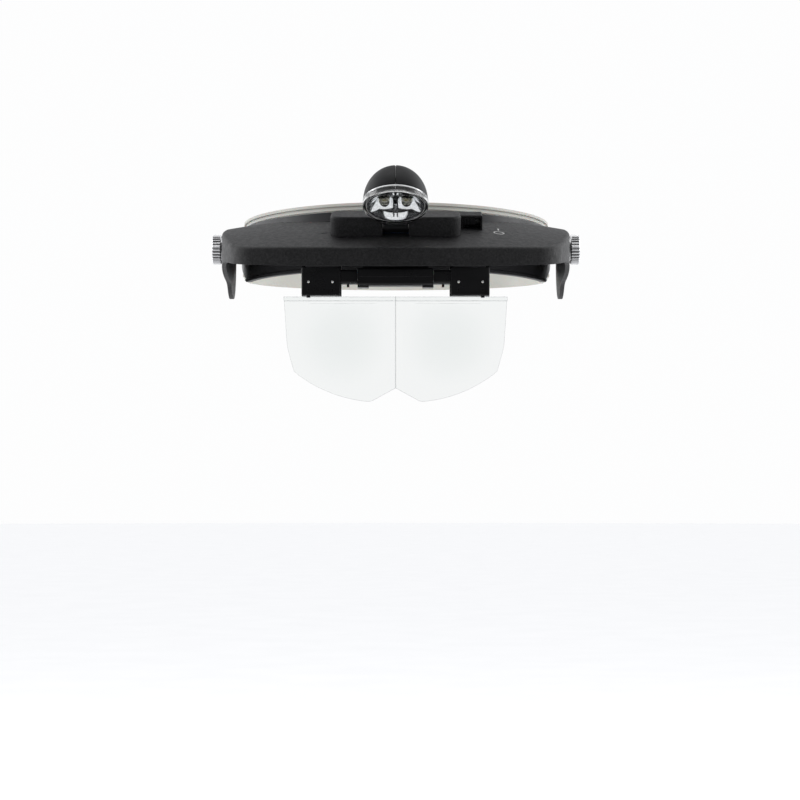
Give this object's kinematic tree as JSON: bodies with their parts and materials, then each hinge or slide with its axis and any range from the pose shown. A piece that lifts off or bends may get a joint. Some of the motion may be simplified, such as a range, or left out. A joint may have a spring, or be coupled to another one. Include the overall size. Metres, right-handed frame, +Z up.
{
  "type": "head visor magnifier",
  "caption": "Headband with a tilting black visor that carries a battery box, a swivelling twin lamp and a flip-up bar holding a clear magnifying lens plate.",
  "frame": {"origin": "centre of the head opening, at the height of the visor's two pivots", "axes": "-Y is the wearer's front, +X runs across the head, +Z points up out of the crown of the head"},
  "size_m": [0.2, 0.2752, 0.1164],
  "materials": {
    "black_grained_abs": "fine spark-eroded grain",
    "black_satin_abs": "smooth satin",
    "black_gloss_abs": "satin gloss",
    "lamp_black": "polished",
    "grey_strap": "soft satin",
    "dark_rivet": "satin",
    "foam_pad": "knit-faced foam",
    "brass_insert": "turned",
    "black_washer": "matt",
    "knob_chrome": "knurled, plated",
    "cell_jacket": "printed sleeve without lettering",
    "contact_steel": "nickel plated",
    "screw_steel": "zinc plated",
    "switch_steel": "tin plated",
    "clear_acrylic": "polished",
    "clear_window": "polished",
    "reflector_chrome": "vacuum metallised",
    "board_green": "solder mask",
    "led_epoxy": "clear epoxy"
  },
  "bodies": {
    "headband": {"brow_band": "black_satin_abs", "front_strap": "grey_strap", "forehead_pad": "foam_pad", "strap_rivets": "dark_rivet", "pivot_nuts": "brass_insert", "washer_left": "black_washer", "washer_right": "black_washer"},
    "rear_band": {"rear_strap": "grey_strap", "strap_studs": "dark_rivet"},
    "visor": {"visor_shell": "black_grained_abs", "collar_left": "black_washer", "collar_right": "black_washer", "battery_housing": "black_grained_abs", "battery_tray": "black_gloss_abs", "battery_front": "cell_jacket", "battery_rear": "cell_jacket", "contact_left": "contact_steel", "contact_right": "contact_steel", "housing_screws": "screw_steel", "switch_base": "switch_steel", "hinge_housing": "black_gloss_abs", "hinge_cap": "black_gloss_abs", "hinge_screws": "screw_steel", "lamp_pin": "screw_steel"},
    "door": {"battery_door": "black_gloss_abs"},
    "slider": {"switch_slider": "black_gloss_abs"},
    "left_wheel": {"knob_left": "knob_chrome"},
    "right_wheel": {"knob_right": "knob_chrome"},
    "lens_bar": {"lens_shaft": "screw_steel", "lens_arm_left": "black_gloss_abs", "lens_arm_right": "black_gloss_abs", "clip_cover_left": "black_gloss_abs", "clip_cover_right": "black_gloss_abs"},
    "lens": {"lens_plate": "clear_acrylic"},
    "lamp_knuckle": {"lamp_arm": "black_gloss_abs"},
    "lamp_head": {"lamp_shell_left": "lamp_black", "lamp_shell_right": "lamp_black", "lamp_window": "clear_window", "lamp_reflector": "reflector_chrome", "led_board": "board_green", "led_left": "led_epoxy", "led_right": "led_epoxy"}
  },
  "joints": [
    {"name": "visor_tilt", "type": "hinge", "parent": "headband", "child": "visor", "pos_m": [0, -0.04, 0], "axis": [-1, 0, 0], "range_deg": [-5, 55]},
    {"name": "size_slide", "type": "slide", "parent": "headband", "child": "rear_band", "axis": [0, 1, 0], "range_m": [-0.008, 0.008]},
    {"name": "left_wheel_turn", "type": "hinge", "parent": "headband", "child": "left_wheel", "pos_m": [-0.097, -0.04, 0], "axis": [1, 0, 0], "range_deg": [0, 300]},
    {"name": "right_wheel_turn", "type": "hinge", "parent": "headband", "child": "right_wheel", "pos_m": [0.097, -0.04, 0], "axis": [-1, 0, 0], "range_deg": [0, 300]},
    {"name": "lens_flip", "type": "hinge", "parent": "visor", "child": "lens_bar", "pos_m": [0, -0.1465, -0.025], "axis": [-1, 0, 0], "range_deg": [-8, 88]},
    {"name": "lens_pull", "type": "slide", "parent": "lens_bar", "child": "lens", "axis": [0, 0, -1], "range_m": [0, 0.014]},
    {"name": "lamp_tilt", "type": "hinge", "parent": "visor", "child": "lamp_knuckle", "pos_m": [0, -0.139, 0.0012], "axis": [-1, 0, 0], "range_deg": [-10, 26]},
    {"name": "lamp_pan", "type": "hinge", "parent": "lamp_knuckle", "child": "lamp_head", "pos_m": [0, -0.14111, 0.01087], "axis": [0, -0.213, 0.977], "range_deg": [-6, 6]},
    {"name": "switch_slide", "type": "slide", "parent": "visor", "child": "slider", "axis": [1, 0, 0], "range_m": [0, 0.0026]},
    {"name": "door_open", "type": "hinge", "parent": "visor", "child": "door", "pos_m": [0, -0.13445, -0.0078], "axis": [-1, 0, 0], "range_deg": [0, 80]}
  ]
}
